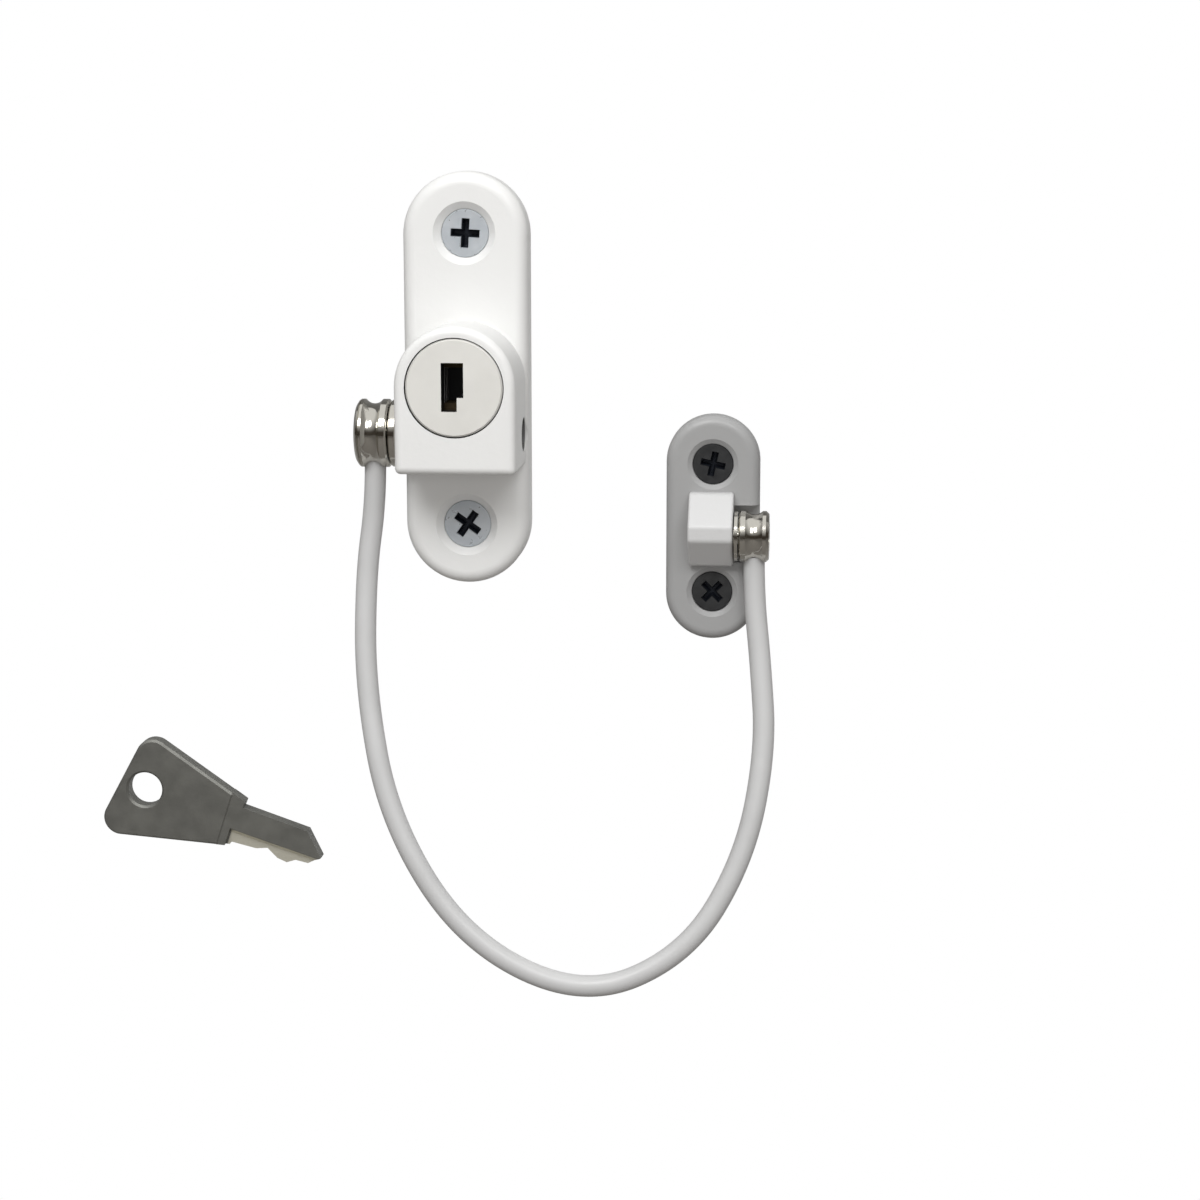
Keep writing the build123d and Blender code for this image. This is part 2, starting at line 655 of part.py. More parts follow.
# ---- keeper ----
def keeper_hump():
    """The raised block of the keeper, with an upper slope, a flat crown and a lower slope."""
    foot = HUMP_HALF_LENGTH + HUMP_DRAFT
    profile = [
        (-foot, HUMP_FOOT),
        (-HUMP_HALF_LENGTH, HUMP_SHOULDER),
        (HUMP_RIDGES[1], HUMP_TOP),
        (HUMP_RIDGES[0], HUMP_TOP),
        (HUMP_HALF_LENGTH, HUMP_SHOULDER),
        (foot, HUMP_FOOT),
    ]
    points = [(-height, KEEPER_Z + z) for z, height in profile]
    side = Plane.YZ.offset(HUMP_X[0]) * make_face(Polyline(*points, close=True))
    hump = extrude(side, HUMP_X[1] - HUMP_X[0])
    above_plate = (-HUMP_TOP - CUT_PAST, -HUMP_SHOULDER + SLIDE_GAP)
    ridges = hump.edges().filter_by(Axis.X).filter_by_position(Axis.Y, *above_plate)
    hump = fillet(ridges, HUMP_RIDGE_RADIUS)
    ends = [face for face in hump.faces().filter_by(Axis.X)]
    rims = [edge for face in ends for edge in face.edges() if edge.center().Y < -HUMP_FOOT - SLIDE_GAP]
    return fillet(rims, HUMP_END_RADIUS)


def make_keeper_plate():
    outline = Pos(KEEPER_X, KEEPER_Z) * SlotOverall(KEEPER_LENGTH, KEEPER_WIDTH, rotation=90)
    plate = forward(outline, (0, KEEPER_THICKNESS))
    plate = fillet(front_edges(plate), KEEPER_EDGE_RADIUS)
    plate += keeper_hump()
    notch_x = (HUMP_X[1], KEEPER_X + KEEPER_WIDTH)
    plate -= block(notch_x, (NOTCH_FLOOR, HUMP_TOP), NOTCH_Z)
    bore_x = (HUMP_X[0] - CUT_PAST, HUMP_X[1] + CUT_PAST)
    plate -= rod_across(PIN_BORE_RADIUS, bore_x, PIN_HEIGHT, PIN_Z)
    head_x = (HUMP_X[0] - CUT_PAST, HUMP_X[0] + PIN_HEAD_THICKNESS + SLIDE_GAP)
    plate -= rod_across(PIN_HEAD_RADIUS + SLIDE_GAP, head_x, PIN_HEIGHT, PIN_Z)
    for side in (1, -1):
        z = KEEPER_Z + side * KEEPER_SCREW_SPACING / 2
        plate -= screw_seat(KEEPER_SCREW, KEEPER_THICKNESS, KEEPER_X, z)
    return plate


def make_keeper_pin():
    """The pin through the hump: a sunk head on the left and a riveted end that keeps the barrel on."""
    head_left = HUMP_X[0] + RUN_GAP
    head_right = head_left + PIN_HEAD_THICKNESS
    rivet_left, rivet_right = PIN_RIVET_X
    outline = Polyline(
        (head_left, 0),
        (head_left, PIN_HEAD_RADIUS),
        (head_right, PIN_HEAD_RADIUS),
        (head_right, PIN_RADIUS),
        (rivet_left, PIN_RADIUS),
        (rivet_left, PIN_RIVET_RADIUS),
        (rivet_right, PIN_RIVET_RADIUS),
        (rivet_right, 0),
        close=True,
    )
    return turned_across(outline, PIN_HEIGHT, PIN_Z)


def make_keeper_washer():
    ring = rod_across(WASHER_RADIUS, WASHER_X, PIN_HEIGHT, PIN_Z)
    return ring - rod_across(PIN_BORE_RADIUS, WASHER_X, PIN_HEIGHT, PIN_Z)


# ---- key ----
def key_bow():
    """The key's head, a rounded triangle with a ring hole, up to the line where the neck begins."""
    outline = make_face(Polyline(*KEY_OUTLINE, close=True))
    outline = fillet(outline.vertices().sort_by(Axis.X)[:2], KEY_CORNER_RADIUS)
    outline -= Pos(*KEY_HOLE) * Circle(KEY_HOLE_RADIUS)
    reach = -2 * KEY_OUTLINE[2][0]
    bow = extrude(outline - Pos(KEY_NECK_U + reach / 2, 0) * Rectangle(reach, reach), KEY_THICKNESS)
    faces = bow.faces().sort_by(Axis.Z)
    return chamfer(faces[0].edges() + faces[-1].edges(), KEY_EDGE)


def key_shank():
    """The neck and the blade, a little thinner than the bow, with the bitting along the lower edge."""
    reach = -2 * KEY_OUTLINE[2][0]
    behind_neck = Pos(KEY_NECK_U - KEY_EDGE - reach / 2, 0) * Rectangle(reach, reach)
    neck = make_face(Polyline(*KEY_OUTLINE, close=True)) - behind_neck
    blade = make_face(Polyline(*BLADE_TOP, *BLADE_BITTING, BLADE_ROOT, close=True))
    thickness = KEY_THICKNESS - 2 * KEY_NECK_DEPTH
    return Pos(0, 0, KEY_NECK_DEPTH) * extrude(neck + blade, thickness)


def blade_land():
    """What is milled off the blade's front along its cut edge: a sloping step."""
    top, foot = BLADE_LAND_V
    face = KEY_THICKNESS - KEY_NECK_DEPTH
    deep = face - BLADE_LAND_DEPTH
    low = BLADE_BITTING[2][1] - CUT_PAST
    outline = [(top, face), (foot, deep), (low, deep), (low, face + CUT_PAST), (top, face + CUT_PAST)]
    start = BLADE_ROOT[0]
    return extrude(Plane.YZ.offset(start) * make_face(Polyline(*outline, close=True)), BLADE_TOP[-1][0] - 2 * start)


def make_key():
    """The spare key, loose beside the cable with its tip down to the right."""
    x, z = KEY_PLACE
    place = Plane(origin=(x, 0, z), x_dir=(1, 0, 0), z_dir=(0, -1, 0)).location
    return place * Rot(0, 0, KEY_ANGLE) * (key_bow() + key_shank() - blade_land())


def all_pieces():
    """Every piece by its name."""
    lock_ferrule = (LOCK_CABLE_X, STUD_HEIGHT, STUD_Z, LOCK_FERRULE_RADIUS, LOCK_SEAT_DEPTHS)
    keeper_ferrule = (KEEPER_CABLE_X, PIN_HEIGHT, PIN_Z, KEEPER_FERRULE_RADIUS, KEEPER_SEAT_DEPTHS)
    return {
        "lock_housing": make_lock_housing(),
        "lock_back_cover": make_lock_back_cover(),
        "cover_screws": make_cover_screws(),
        "lock_screws": screw_pair(LOCK_SCREW, 0, 0, LOCK_SCREW_SPACING, LOCK_SCREW_TURNS),
        "key_plug": make_key_plug(),
        "wafer_tumblers": make_wafer_tumblers(),
        "wafer_springs": make_wafer_springs(),
        "plug_clip": make_plug_clip(),
        "drive_pin": make_drive_pin(),
        "locking_bolt": make_locking_bolt(),
        "stud_pin": make_stud_pin(),
        "stud_retainer": make_stud_retainer(),
        "lock_end_barrel": make_lock_end_barrel(),
        "lock_end_ferrule": crimp_ferrule(*lock_ferrule),
        "cable_core": make_cable_core(),
        "cable_sheath": make_cable_sheath(),
        "keeper_end_ferrule": crimp_ferrule(*keeper_ferrule),
        "keeper_end_barrel": make_keeper_end_barrel(),
        "keeper_plate": make_keeper_plate(),
        "keeper_pin": make_keeper_pin(),
        "keeper_washer": make_keeper_washer(),
        "keeper_screws": screw_pair(
            KEEPER_SCREW, KEEPER_X, KEEPER_Z, KEEPER_SCREW_SPACING, KEEPER_SCREW_TURNS
        ),
        "key": make_key(),
    }


os.makedirs("parts", exist_ok=True)
for name, piece in all_pieces().items():
    export_step(piece, f"parts/{name}.step")
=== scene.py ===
import json
import math

import bpy
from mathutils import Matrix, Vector


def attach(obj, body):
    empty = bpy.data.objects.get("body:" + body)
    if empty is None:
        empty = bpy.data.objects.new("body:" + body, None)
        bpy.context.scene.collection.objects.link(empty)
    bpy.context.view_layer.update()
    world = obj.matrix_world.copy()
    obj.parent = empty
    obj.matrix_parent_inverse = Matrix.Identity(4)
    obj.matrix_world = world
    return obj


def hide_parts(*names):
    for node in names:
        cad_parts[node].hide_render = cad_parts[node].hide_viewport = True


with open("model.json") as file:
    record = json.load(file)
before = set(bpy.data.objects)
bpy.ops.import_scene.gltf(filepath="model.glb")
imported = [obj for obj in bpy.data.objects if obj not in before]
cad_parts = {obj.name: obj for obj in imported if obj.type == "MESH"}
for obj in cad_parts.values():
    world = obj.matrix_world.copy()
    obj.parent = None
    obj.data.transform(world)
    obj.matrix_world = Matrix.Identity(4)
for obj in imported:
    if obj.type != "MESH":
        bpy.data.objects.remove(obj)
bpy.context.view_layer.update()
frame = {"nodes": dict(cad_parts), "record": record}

# ---- the cable's route in metres, from the lock's barrel to the keeper's ----
CABLE_ROUTE = [
    (-0.0159, -0.0077, -0.0137),
    (-0.0159, -0.0077, -0.0210),
    (-0.0176, -0.0094, -0.0340),
    (-0.0174, -0.0132, -0.0540),
    (-0.0124, -0.0186, -0.0770),
    (0.0014, -0.0218, -0.0976),
    (0.0225, -0.0228, -0.1070),
    (0.0404, -0.0210, -0.0990),
    (0.0502, -0.0172, -0.0825),
    (0.0536, -0.0126, -0.0640),
    (0.0524, -0.0086, -0.0490),
    (0.0510, -0.0065, -0.0370),
    (0.0510, -0.0065, -0.0304),
]
CABLE_DIAMETER = 0.0038
CABLE_CURVE_ORDER = 3
CABLE_STEPS_PER_POINT = 24
CABLE_ROUND_STEPS = 10

# ---- camera ----
CAMERA_PLACE = (0.0645, -0.450, 0.043)
CAMERA_TARGET = (0.0232, 0.0, -0.0399)
CAMERA_FOCAL = 76.6
SENSOR_WIDTH = 36.0
NEAR_CLIP = 0.01

# ---- places on the object that change colour, most of them where painted shade or light goes, in metres, with heights from the plates' backs ----
SOFT_EDGE = 0.00006
FAR_SIDE = 1.0  # a limit well past the object, for a mask that is open on that side
LOCK_SCREW_PLACE = {
    "x": 0.0,
    "z": 0.0,
    "half_spacing": 0.0256,
    "heights": (0.0025, 0.00448),
    "reach": 0.00262,
}
KEEPER_SCREW_PLACE = {
    "x": 0.0435,
    "z": -0.026,
    "half_spacing": 0.0114,
    "heights": (0.0014, 0.00312),
    "reach": 0.00226,
}
KEYWAY_HALF_SIZE = (0.0023, 0.0044)
KEYWAY_HEIGHTS = (0.0100, 0.01985)
PLUG_GAP = {"radii": (0.0080, 0.00868), "heights": (0.0165, 0.01990)}
# heights of the keeper's raised block, where painted light goes
HUMP_HEIGHTS = (0.0041, 0.02)
STUD_BORE = {"height": 0.0077, "z": -0.0092, "radius": 0.00309, "half_length": 0.01035}
KEY_PLACE = (-0.042, -0.079)
KEY_ANGLE = math.radians(-18.4)
KEY_BAND = (-0.0085, -0.0051)
KEY_BAND_START = -0.0012

# ---- colours of places on the object, several of them painted shade or light, as linear red, green and blue ----
# painted shade, near black, inside the stud's bore and in the gap round the plug
HOLE_PAINTED_SHADE = (0.03, 0.03, 0.03)
# painted shade, near black, inside the keyway
KEYWAY_PAINTED_SHADE = (0.012, 0.012, 0.014)
# painted shade in the screws' cross recesses
RECESS_PAINTED_SHADE = (0.022, 0.026, 0.036)
LOCK_WHITE = (0.84, 0.84, 0.83)
# the keeper's white coat darkened to grey as painted shade
KEEPER_PLATE_SHADE_GREY = (0.37, 0.37, 0.37)
# the keeper's raised block made lighter as painted light
KEEPER_BLOCK_LIT_GREY = (0.63, 0.63, 0.63)
KEY_BAND_COLOUR = (0.80, 0.78, 0.67)
COAT_CLOUD_SHARE = 0.97  # how much of a coat's colour is left in its faint clouds

# ---- the colour mix node's sockets, by number, because its other kinds use the same names ----
MIX_FACTOR = 0
MIX_FIRST = 6
MIX_SECOND = 7
MIX_RESULT = 2

# ---- stage ----
FLOOR_Z = -0.20
STAGE_HALF_WIDTH = 2.5
STAGE_FRONT = -2.5
STAGE_BACK = 1.2
STAGE_CURVE = 0.6
STAGE_CURVE_STEPS = 24
STAGE_TOP = 2.2
STAGE_COLOUR = (0.50, 0.50, 0.50)
STAGE_FRONT_COLOUR = (0.20, 0.19, 0.18)
STAGE_FADE_Y = (-0.02, 0.5)

# ---- what surrounds the object: dim level with it, bright above ----
DIM = (0.05, 0.042, 0.034, 1.0)
BRIGHT = (0.90, 0.90, 0.89, 1.0)
WHITE = (1.0, 1.0, 1.0, 1.0)
BRIGHT_FROM = 0.15
BRIGHT_ABOVE = 0.75

# ---- lights: places and sizes in metres, all aimed at one point ----
LIGHT_TARGET = (0.01, 0.0, -0.02)
LIGHTS = [
    {"name": "overhead", "place": (-0.10, -0.40, 0.34), "size": 0.20, "watts": 1.2, "in_reflections": True},
    {"name": "upper_fill", "place": (0.30, -0.70, 0.55), "size": 0.4, "watts": 2.2, "in_reflections": True},
    {"name": "behind", "place": (0.35, 0.90, 0.45), "size": 0.5, "watts": 3.0, "in_reflections": False},
    {"name": "low_fill", "place": (0.10, -0.90, -0.15), "size": 0.8, "watts": 3.0, "in_reflections": False},
]


# ---- camera and cable ----
def facing(place, target):
    """The turn that points a camera or a light from a place at a target."""
    aim = Vector(target) - Vector(place)
    return aim.to_track_quat("-Z", "Y").to_euler()


def make_camera():
    """The camera, aimed at a point in the plates' plane."""
    data = bpy.data.cameras.new("camera")
    camera = bpy.data.objects.new("camera", data)
    bpy.context.scene.collection.objects.link(camera)
    camera.location = CAMERA_PLACE
    camera.rotation_euler = facing(CAMERA_PLACE, CAMERA_TARGET)
    data.lens = CAMERA_FOCAL
    data.sensor_width = SENSOR_WIDTH
    data.clip_start = NEAR_CLIP
    bpy.context.scene.camera = camera


def make_cable():
    """The sheathed cable: one smooth line along the route, round in section."""
    data = bpy.data.curves.new("cable", "CURVE")
    data.dimensions = "3D"
    spline = data.splines.new("NURBS")
    spline.points.add(len(CABLE_ROUTE) - 1)
    for point, place in zip(spline.points, CABLE_ROUTE):
        point.co = (*place, 1.0)
        point.radius = CABLE_DIAMETER / 2
    spline.order_u = CABLE_CURVE_ORDER
    spline.use_endpoint_u = True
    spline.resolution_u = CABLE_STEPS_PER_POINT
    data.bevel_depth = 1.0  # a metre, so that each point's radius above is the cable's own
    data.bevel_resolution = CABLE_ROUND_STEPS
    data.use_fill_caps = True
    cable = bpy.data.objects.new("cable", data)
    bpy.context.scene.collection.objects.link(cable)
    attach(cable, "cable")
    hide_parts("cable_sheath", "cable_core")
    return cable


# ---- material helpers ----
class Shader:
    """A new material and short ways to add and join its nodes."""

    def __init__(self, name, colour, roughness, metallic=0.0):
        self.material = bpy.data.materials.new(name)
        self.material.use_nodes = True
        self.nodes = self.material.node_tree.nodes
        self.surface = self.nodes["Principled BSDF"]
        self.put("Base Color", (*colour, 1.0))
        self.put("Roughness", roughness)
        self.put("Metallic", metallic)
        self.place = self.add("ShaderNodeTexCoord").outputs["Object"]
        axes = self.add("ShaderNodeSeparateXYZ")
        self.join(self.place, axes.inputs["Vector"])
        self.x, self.y, self.z = axes.outputs

    def put(self, socket, value):
        """A plain value on one of the surface's sockets."""
        self.surface.inputs[socket].default_value = value

    def add(self, kind, **values):
        """A new node, with settings by name."""
        node = self.nodes.new(kind)
        for name, value in values.items():
            setattr(node, name, value)
        return node

    def join(self, start, end):
        """A link from one socket to another."""
        self.material.node_tree.links.new(start, end)

    def stretched(self, scale):
        """The object's coordinates, stretched by a scale on each axis."""
        mapping = self.add("ShaderNodeMapping")
        mapping.inputs["Scale"].default_value = scale
        self.join(self.place, mapping.inputs["Vector"])
        return mapping.outputs["Vector"]

    def noise(self, size, detail=3.0, where=None):
        """Noise with blotches of about a size in metres."""
        node = self.add("ShaderNodeTexNoise")
        node.inputs["Scale"].default_value = 1.0 / size
        node.inputs["Detail"].default_value = detail
        self.join(where or self.place, node.inputs["Vector"])
        return node.outputs["Fac"]

    def between(self, source, low, high, start=0.3, end=0.7):
        """A value from low to high as the source goes from start to end."""
        node = self.add("ShaderNodeMapRange")
        node.inputs["From Min"].default_value = start
        node.inputs["From Max"].default_value = end
        node.inputs["To Min"].default_value = low
        node.inputs["To Max"].default_value = high
        self.join(source, node.inputs["Value"])
        return node.outputs["Result"]

    def calculate(self, operation, first, second=0.0):
        """Two values put through one step of arithmetic."""
        node = self.add("ShaderNodeMath", operation=operation)
        for socket, value in zip(node.inputs, (first, second)):
            if isinstance(value, float):
                socket.default_value = value
            else:
                self.join(value, socket)
        return node.outputs["Value"]

    def inside(self, source, low, high):
        """1 where a value lies between two limits and 0 outside them, with a soft edge."""
        rising = self.between(source, 0.0, 1.0, low - SOFT_EDGE, low + SOFT_EDGE)
        falling = self.between(source, 1.0, 0.0, high - SOFT_EDGE, high + SOFT_EDGE)
        return self.calculate("MULTIPLY", rising, falling)

    def length(self, first, second):
        """The distance made by two steps at a right angle."""
        squares = [self.calculate("MULTIPLY", step, step) for step in (first, second)]
        return self.calculate("SQRT", self.calculate("ADD", *squares))

    def turned(self, across, up, angle):
        """A place's two steps, measured along and across a line at an angle to the level."""
        sine, cosine = math.sin(angle), math.cos(angle)
        first = [self.calculate("MULTIPLY", across, cosine), self.calculate("MULTIPLY", up, sine)]
        second = [self.calculate("MULTIPLY", up, cosine), self.calculate("MULTIPLY", across, sine)]
        return self.calculate("ADD", *first), self.calculate("SUBTRACT", *second)

    def in_recess(self, screw):
        """1 inside the cross recesses of a pair of screws, where painted shade goes."""
        low, high = screw["heights"]
        across = self.calculate("SUBTRACT", self.x, screw["x"])
        from_middle = self.calculate("ABSOLUTE", self.calculate("SUBTRACT", self.z, screw["z"]))
        along = self.calculate("SUBTRACT", from_middle, screw["half_spacing"])
        near_axis = self.inside(self.length(across, along), -FAR_SIDE, screw["reach"])
        return self.calculate("MULTIPLY", near_axis, self.inside(self.y, -high, -low))

    def paint(self, mask, colour):
        """The surface's colour, changed to another one where a mask is 1."""
        base = self.surface.inputs["Base Color"]
        under = base.links[0].from_socket if base.links else tuple(base.default_value)[:3]
        self.join(self.mix(mask, under, colour), base)

    def vary_roughness(self, source, low, high):
        """Roughness that goes from low to high with a noise."""
        self.join(self.between(source, low, high), self.surface.inputs["Roughness"])

    def mix(self, source, first, second):
        """A colour between two as the source goes from 0 to 1."""
        node = self.add("ShaderNodeMix", data_type="RGBA")
        for socket, value in ((node.inputs[MIX_FIRST], first), (node.inputs[MIX_SECOND], second)):
            if isinstance(value, tuple):
                socket.default_value = (*value, 1.0)
            else:
                self.join(value, socket)
        self.join(source, node.inputs[MIX_FACTOR])
        return node.outputs[MIX_RESULT]

    def vary_colour(self, source, first, second):
        """A surface colour that goes between two with a noise."""
        colour = self.mix(self.between(source, 0.0, 1.0), first, second)
        self.join(colour, self.surface.inputs["Base Color"])

    def bump(self, source, depth, under=None):
        """Relief of about a depth in metres, over an earlier relief when one is given."""
        node = self.add("ShaderNodeBump")
        node.inputs["Distance"].default_value = depth
        self.join(source, node.inputs["Height"])
        if under is not None:
            self.join(under, node.inputs["Normal"])
        self.join(node.outputs["Normal"], self.surface.inputs["Normal"])
        return node.outputs["Normal"]


# ---- materials ----
def powder_coat(name, colour):
    """White satin powder coat with its fine orange peel."""
    duller = tuple(COAT_CLOUD_SHARE * part for part in colour)
    shader = Shader(name, colour, roughness=0.36)
    shader.vary_colour(shader.noise(size=0.02), duller, colour)
    shader.vary_roughness(shader.noise(size=0.004), low=0.34, high=0.44)
    peel = shader.bump(shader.noise(size=0.0011, detail=2.0), depth=0.00003)
    shader.bump(shader.noise(size=0.0003, detail=2.0), depth=0.000006, under=peel)
    return shader


def lock_coat():
    """The lock's white coat, with painted shade, near black, inside the stud's bore and in the gap round the
    plug.
    """
    shader = powder_coat("white_powder_coat", LOCK_WHITE)
    # painted shade inside the stud's bore
    above = shader.calculate("ADD", shader.y, STUD_BORE["height"])
    along = shader.calculate("SUBTRACT", shader.z, STUD_BORE["z"])
    near_axis = shader.inside(shader.length(above, along), -FAR_SIDE, STUD_BORE["radius"])
    within = shader.inside(shader.x, -STUD_BORE["half_length"], STUD_BORE["half_length"])
    shader.paint(shader.calculate("MULTIPLY", near_axis, within), HOLE_PAINTED_SHADE)
    # painted shade in the gap round the plug
    low, high = PLUG_GAP["heights"]
    ring = shader.inside(shader.length(shader.x, shader.z), *PLUG_GAP["radii"])
    shader.paint(shader.calculate("MULTIPLY", ring, shader.inside(shader.y, -high, -low)), HOLE_PAINTED_SHADE)
    return shader.material


def keeper_shade_and_light_coat():
    """The keeper's white coat darkened to grey as painted shade, with painted light making the raised block
    lighter than the plate.
    """
    shader = powder_coat("keeper_painted_shade_light_coat", KEEPER_PLATE_SHADE_GREY)
    low, high = HUMP_HEIGHTS
    # painted light on the raised block, over the plate's painted shade
    shader.paint(shader.inside(shader.y, -high, -low), KEEPER_BLOCK_LIT_GREY)
    return shader.material


def satin_nickel():
    """Pale satin nickel with a fine vertical grain, and painted shade, near black, inside the keyway."""
    shader = Shader("satin_nickel", (0.84, 0.83, 0.79), roughness=0.42, metallic=0.25)
    grain = shader.noise(size=0.00012, detail=3.0, where=shader.stretched(scale=(1.0, 1.0, 0.06)))
    shader.vary_colour(shader.noise(size=0.006), (0.82, 0.81, 0.77), (0.87, 0.86, 0.82))
    shader.vary_roughness(grain, low=0.36, high=0.5)
    shader.bump(grain, depth=0.000004)
    # painted shade inside the keyway
    half_width, half_height = KEYWAY_HALF_SIZE
    low, high = KEYWAY_HEIGHTS
    across = shader.inside(shader.x, -half_width, half_width)
    along = shader.inside(shader.z, -half_height, half_height)
    deep = shader.inside(shader.y, -high, -low)
    shader.paint(shader.calculate("MULTIPLY", shader.calculate("MULTIPLY", across, along), deep), KEYWAY_PAINTED_SHADE)
    return shader.material


def polished_nickel():
    """Polished nickel plate, warm, with hairline turning marks."""
    shader = Shader("polished_nickel", (0.62, 0.60, 0.55), roughness=0.09, metallic=1.0)
    marks = shader.noise(size=0.00015, detail=2.0, where=shader.stretched(scale=(1.0, 0.05, 0.05)))
    shader.vary_roughness(shader.noise(size=0.003), low=0.08, high=0.17)
    shader.bump(marks, depth=0.000002)
    return shader.material


def zinc_plate(name, colours, roughness, metallic, screw=None):
    """Zinc, plated or cast, slightly clouded, with painted shade in the cross recesses where it is on screws.
    """
    first, second = colours
    low, high = roughness
    shader = Shader(name, first, low, metallic)
    shader.vary_colour(shader.noise(size=0.003), first, second)
    shader.vary_roughness(shader.noise(size=0.0012), low, high)
    shader.bump(shader.noise(size=0.0004), depth=0.000008)
    if screw is not None:
        # painted shade in the cross recesses
        shader.paint(shader.in_recess(screw), RECESS_PAINTED_SHADE)
    return shader.material


def key_nickel():
    """The key's dull dark nickel, with a lighter, worn band along its cuts."""
    shader = Shader("key_nickel", (0.20, 0.20, 0.185), roughness=0.42, metallic=0.7)
    shader.vary_colour(shader.noise(size=0.004), (0.21, 0.21, 0.195), (0.27, 0.27, 0.25))
    scratches = shader.noise(size=0.00025, detail=3.0, where=shader.stretched(scale=(0.15, 1.0, 1.0)))
    shader.vary_roughness(scratches, low=0.36, high=0.5)
    shader.bump(scratches, depth=0.000006)
    across = shader.calculate("SUBTRACT", shader.x, KEY_PLACE[0])
    up = shader.calculate("SUBTRACT", shader.z, KEY_PLACE[1])
    along_blade, across_blade = shader.turned(across, up, KEY_ANGLE)
    beside_cuts = shader.inside(across_blade, *KEY_BAND)
    past_bow = shader.inside(along_blade, KEY_BAND_START, FAR_SIDE)
    shader.paint(shader.calculate("MULTIPLY", beside_cuts, past_bow), KEY_BAND_COLOUR)
    return shader.material


def plain_steel():
    """Plain steel of the springs, clip, bolt, drive pin and ferrules, slightly uneven in its shine."""
    shader = Shader("plain_steel", (0.52, 0.52, 0.51), roughness=0.35, metallic=1.0)
    shader.vary_roughness(shader.noise(size=0.0008), low=0.28, high=0.45)
    return shader.material


def shade_darkened_brass():
    """The wafers' brass, dull and darkened all over as painted shade, for where it is seen behind the keyway.
    """
    # brass darkened all over as painted shade
    shader = Shader("shade_darkened_brass", (0.10, 0.075, 0.045), roughness=0.5, metallic=1.0)
    shader.vary_roughness(shader.noise(size=0.0008), low=0.4, high=0.6)
    return shader.material


def white_pvc():
    """The cable's smooth white PVC."""
    shader = Shader("white_pvc", (0.58, 0.58, 0.58), roughness=0.32)
    shader.vary_colour(shader.noise(size=0.012), (0.56, 0.56, 0.56), (0.60, 0.60, 0.60))
    shader.vary_roughness(shader.noise(size=0.003), low=0.30, high=0.40)
    shader.bump(shader.noise(size=0.0008, detail=2.0), depth=0.000006)
    return shader.material


def dress_nodes(cable):
    """The CAD nodes get the material of their slot, the keeper its own coat with painted shade and light, and
    the cable its PVC.
    """
    bright_zinc = ((0.62, 0.67, 0.72), (0.72, 0.76, 0.80))
    dark_zinc = ((0.045, 0.046, 0.048), (0.07, 0.072, 0.074))
    cast_zinc = ((0.55, 0.56, 0.57), (0.62, 0.63, 0.64))
    finishes = {
        "white_powder_coat": lock_coat(),
        "zinc_casting": zinc_plate("cast_cover", cast_zinc, roughness=(0.45, 0.6), metallic=1.0),
        "zinc_screw": zinc_plate("zinc_screw", bright_zinc, (0.25, 0.4), 0.5, screw=LOCK_SCREW_PLACE),
        "dark_screw": zinc_plate("dark_screw", dark_zinc, (0.3, 0.45), 0.6, screw=KEEPER_SCREW_PLACE),
        "satin_nickel": satin_nickel(),
        "polished_nickel": polished_nickel(),
        "key_nickel": key_nickel(),
        "steel": plain_steel(),
        "brass": shade_darkened_brass(),
    }
    for row in frame["record"]["subparts"]:
        node = frame["nodes"][row["node"]]
        if row["material_slot"] in finishes:
            node.data.materials.clear()
            node.data.materials.append(finishes[row["material_slot"]])
    keeper = frame["nodes"]["keeper_plate"]
    keeper.data.materials.clear()
    keeper.data.materials.append(keeper_shade_and_light_coat())
    cable.data.materials.append(white_pvc())


# ---- stage and light ----
def make_stage():
    """A plain floor that curves up into a plain wall behind."""
    profile = [(STAGE_FRONT, FLOOR_Z), (STAGE_BACK - STAGE_CURVE, FLOOR_Z)]
    for step in range(1, STAGE_CURVE_STEPS + 1):
        angle = math.pi / 2 * step / STAGE_CURVE_STEPS
        y = STAGE_BACK - STAGE_CURVE + STAGE_CURVE * math.sin(angle)
        profile.append((y, FLOOR_Z + STAGE_CURVE * (1 - math.cos(angle))))
    profile.append((STAGE_BACK, STAGE_TOP))
    points = [(side * STAGE_HALF_WIDTH, y, z) for y, z in profile for side in (-1, 1)]
    faces = [(2 * i, 2 * i + 1, 2 * i + 3, 2 * i + 2) for i in range(len(profile) - 1)]
    mesh = bpy.data.meshes.new("stage")
    mesh.from_pydata(points, [], faces)
    mesh.shade_smooth()
    stage = bpy.data.objects.new("stage", mesh)
    bpy.context.scene.collection.objects.link(stage)
    stage.data.materials.append(stage_white())


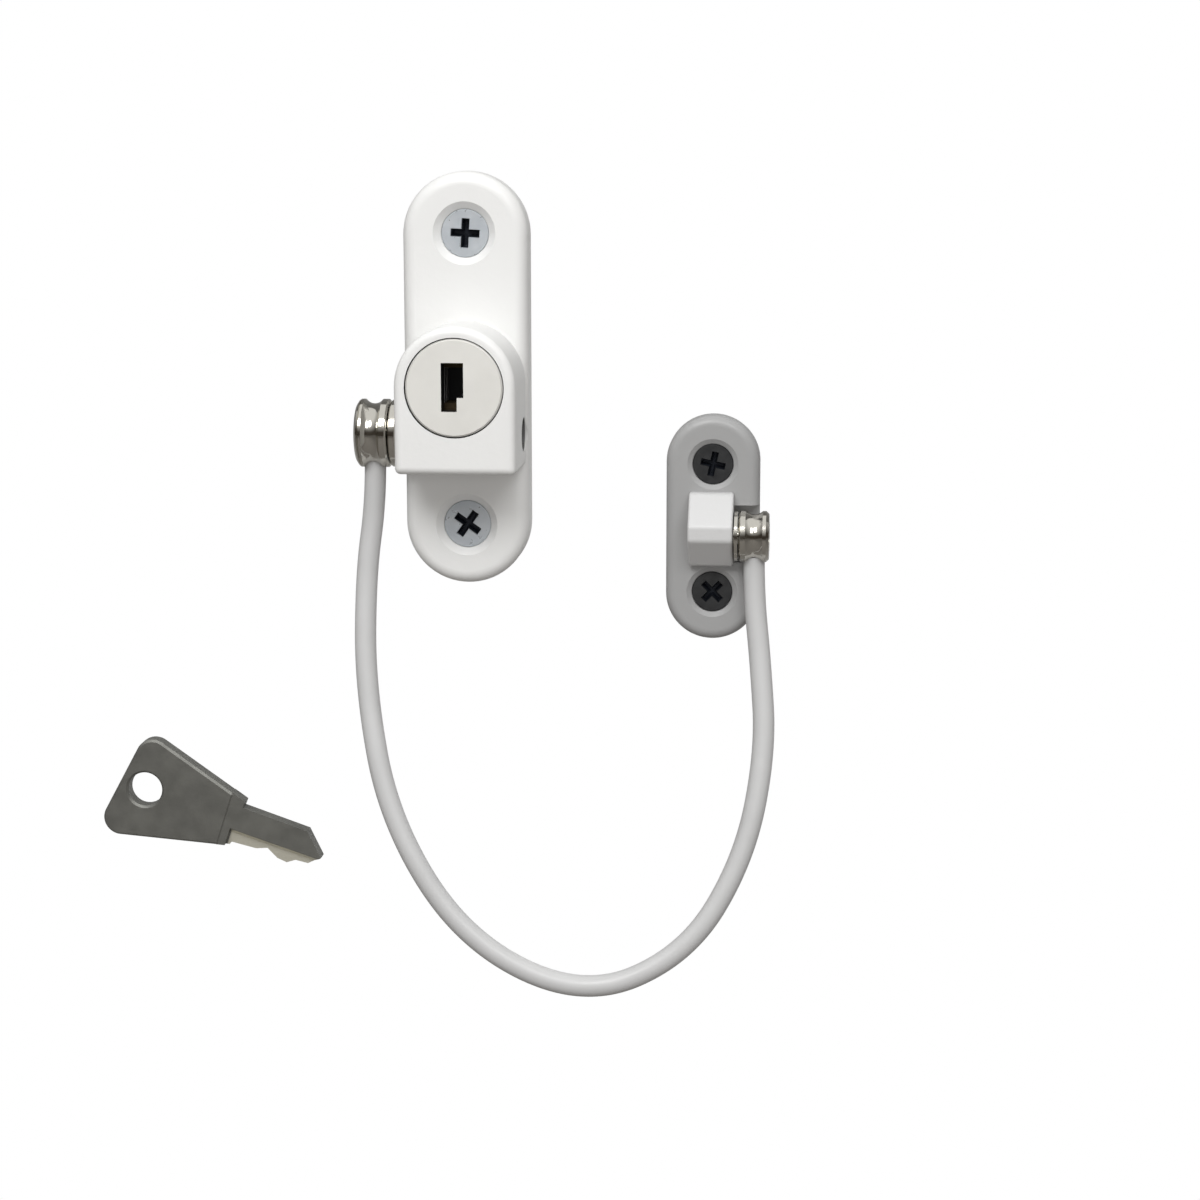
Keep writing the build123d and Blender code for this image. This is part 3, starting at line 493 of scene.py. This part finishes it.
def stage_white():
    """Plain white to look at; what it throws back at the object is darker towards the front."""
    shader = Shader("stage_white", STAGE_COLOUR, roughness=0.9)
    shader.put("Specular IOR Level", 0.0)
    fade = shader.between(shader.y, 0.0, 1.0, *STAGE_FADE_Y)
    shader.join(shader.mix(fade, STAGE_FRONT_COLOUR, STAGE_COLOUR), shader.surface.inputs["Base Color"])
    plain = shader.add("ShaderNodeEmission")
    seen = shader.add("ShaderNodeLightPath")
    either = shader.add("ShaderNodeMixShader")
    shader.join(seen.outputs["Is Camera Ray"], either.inputs[0])
    shader.join(shader.surface.outputs["BSDF"], either.inputs[1])
    shader.join(plain.outputs["Emission"], either.inputs[2])
    shader.join(either.outputs["Shader"], shader.nodes["Material Output"].inputs["Surface"])
    return shader.material


def area_light(name, place, size, watts, in_reflections):
    """A square soft light aimed at the object."""
    data = bpy.data.lights.new(name, "AREA")
    data.shape = "SQUARE"
    data.size = size
    data.energy = watts
    light = bpy.data.objects.new(name, data)
    bpy.context.scene.collection.objects.link(light)
    light.location = place
    light.rotation_euler = facing(place, LIGHT_TARGET)
    light.visible_glossy = in_reflections


def make_surround():
    """The world: plain white to look at, and for light and reflections dim below and bright above."""
    world = bpy.data.worlds.new("surround")
    bpy.context.scene.world = world
    world.use_nodes = True
    nodes, links = world.node_tree.nodes, world.node_tree.links
    axes = nodes.new("ShaderNodeSeparateXYZ")
    links.new(nodes.new("ShaderNodeTexCoord").outputs["Generated"], axes.inputs["Vector"])
    rise = nodes.new("ShaderNodeMapRange")
    rise.inputs["From Min"].default_value = BRIGHT_FROM
    rise.inputs["From Max"].default_value = BRIGHT_ABOVE
    links.new(axes.outputs["Z"], rise.inputs["Value"])
    sky = nodes.new("ShaderNodeMix")
    sky.data_type = "RGBA"
    sky.inputs[MIX_FIRST].default_value = DIM
    sky.inputs[MIX_SECOND].default_value = BRIGHT
    links.new(rise.outputs["Result"], sky.inputs[MIX_FACTOR])
    shown = nodes.new("ShaderNodeMix")
    shown.data_type = "RGBA"
    shown.inputs[MIX_SECOND].default_value = WHITE
    links.new(nodes.new("ShaderNodeLightPath").outputs["Is Camera Ray"], shown.inputs[MIX_FACTOR])
    links.new(sky.outputs[MIX_RESULT], shown.inputs[MIX_FIRST])
    links.new(shown.outputs[MIX_RESULT], nodes["Background"].inputs["Color"])


def light_studio():
    """Soft light from the upper left, with weaker fills from the upper right, behind and below."""
    for light in LIGHTS:
        area_light(**light)
    make_surround()
    bpy.context.scene.view_settings.view_transform = "Standard"


def write_sizes():
    """Brings the scene's placements up to date; no sizes are worked out or written here."""
    bpy.context.view_layer.update()


make_camera()
cable = make_cable()
dress_nodes(cable)
make_stage()
light_studio()
write_sizes()
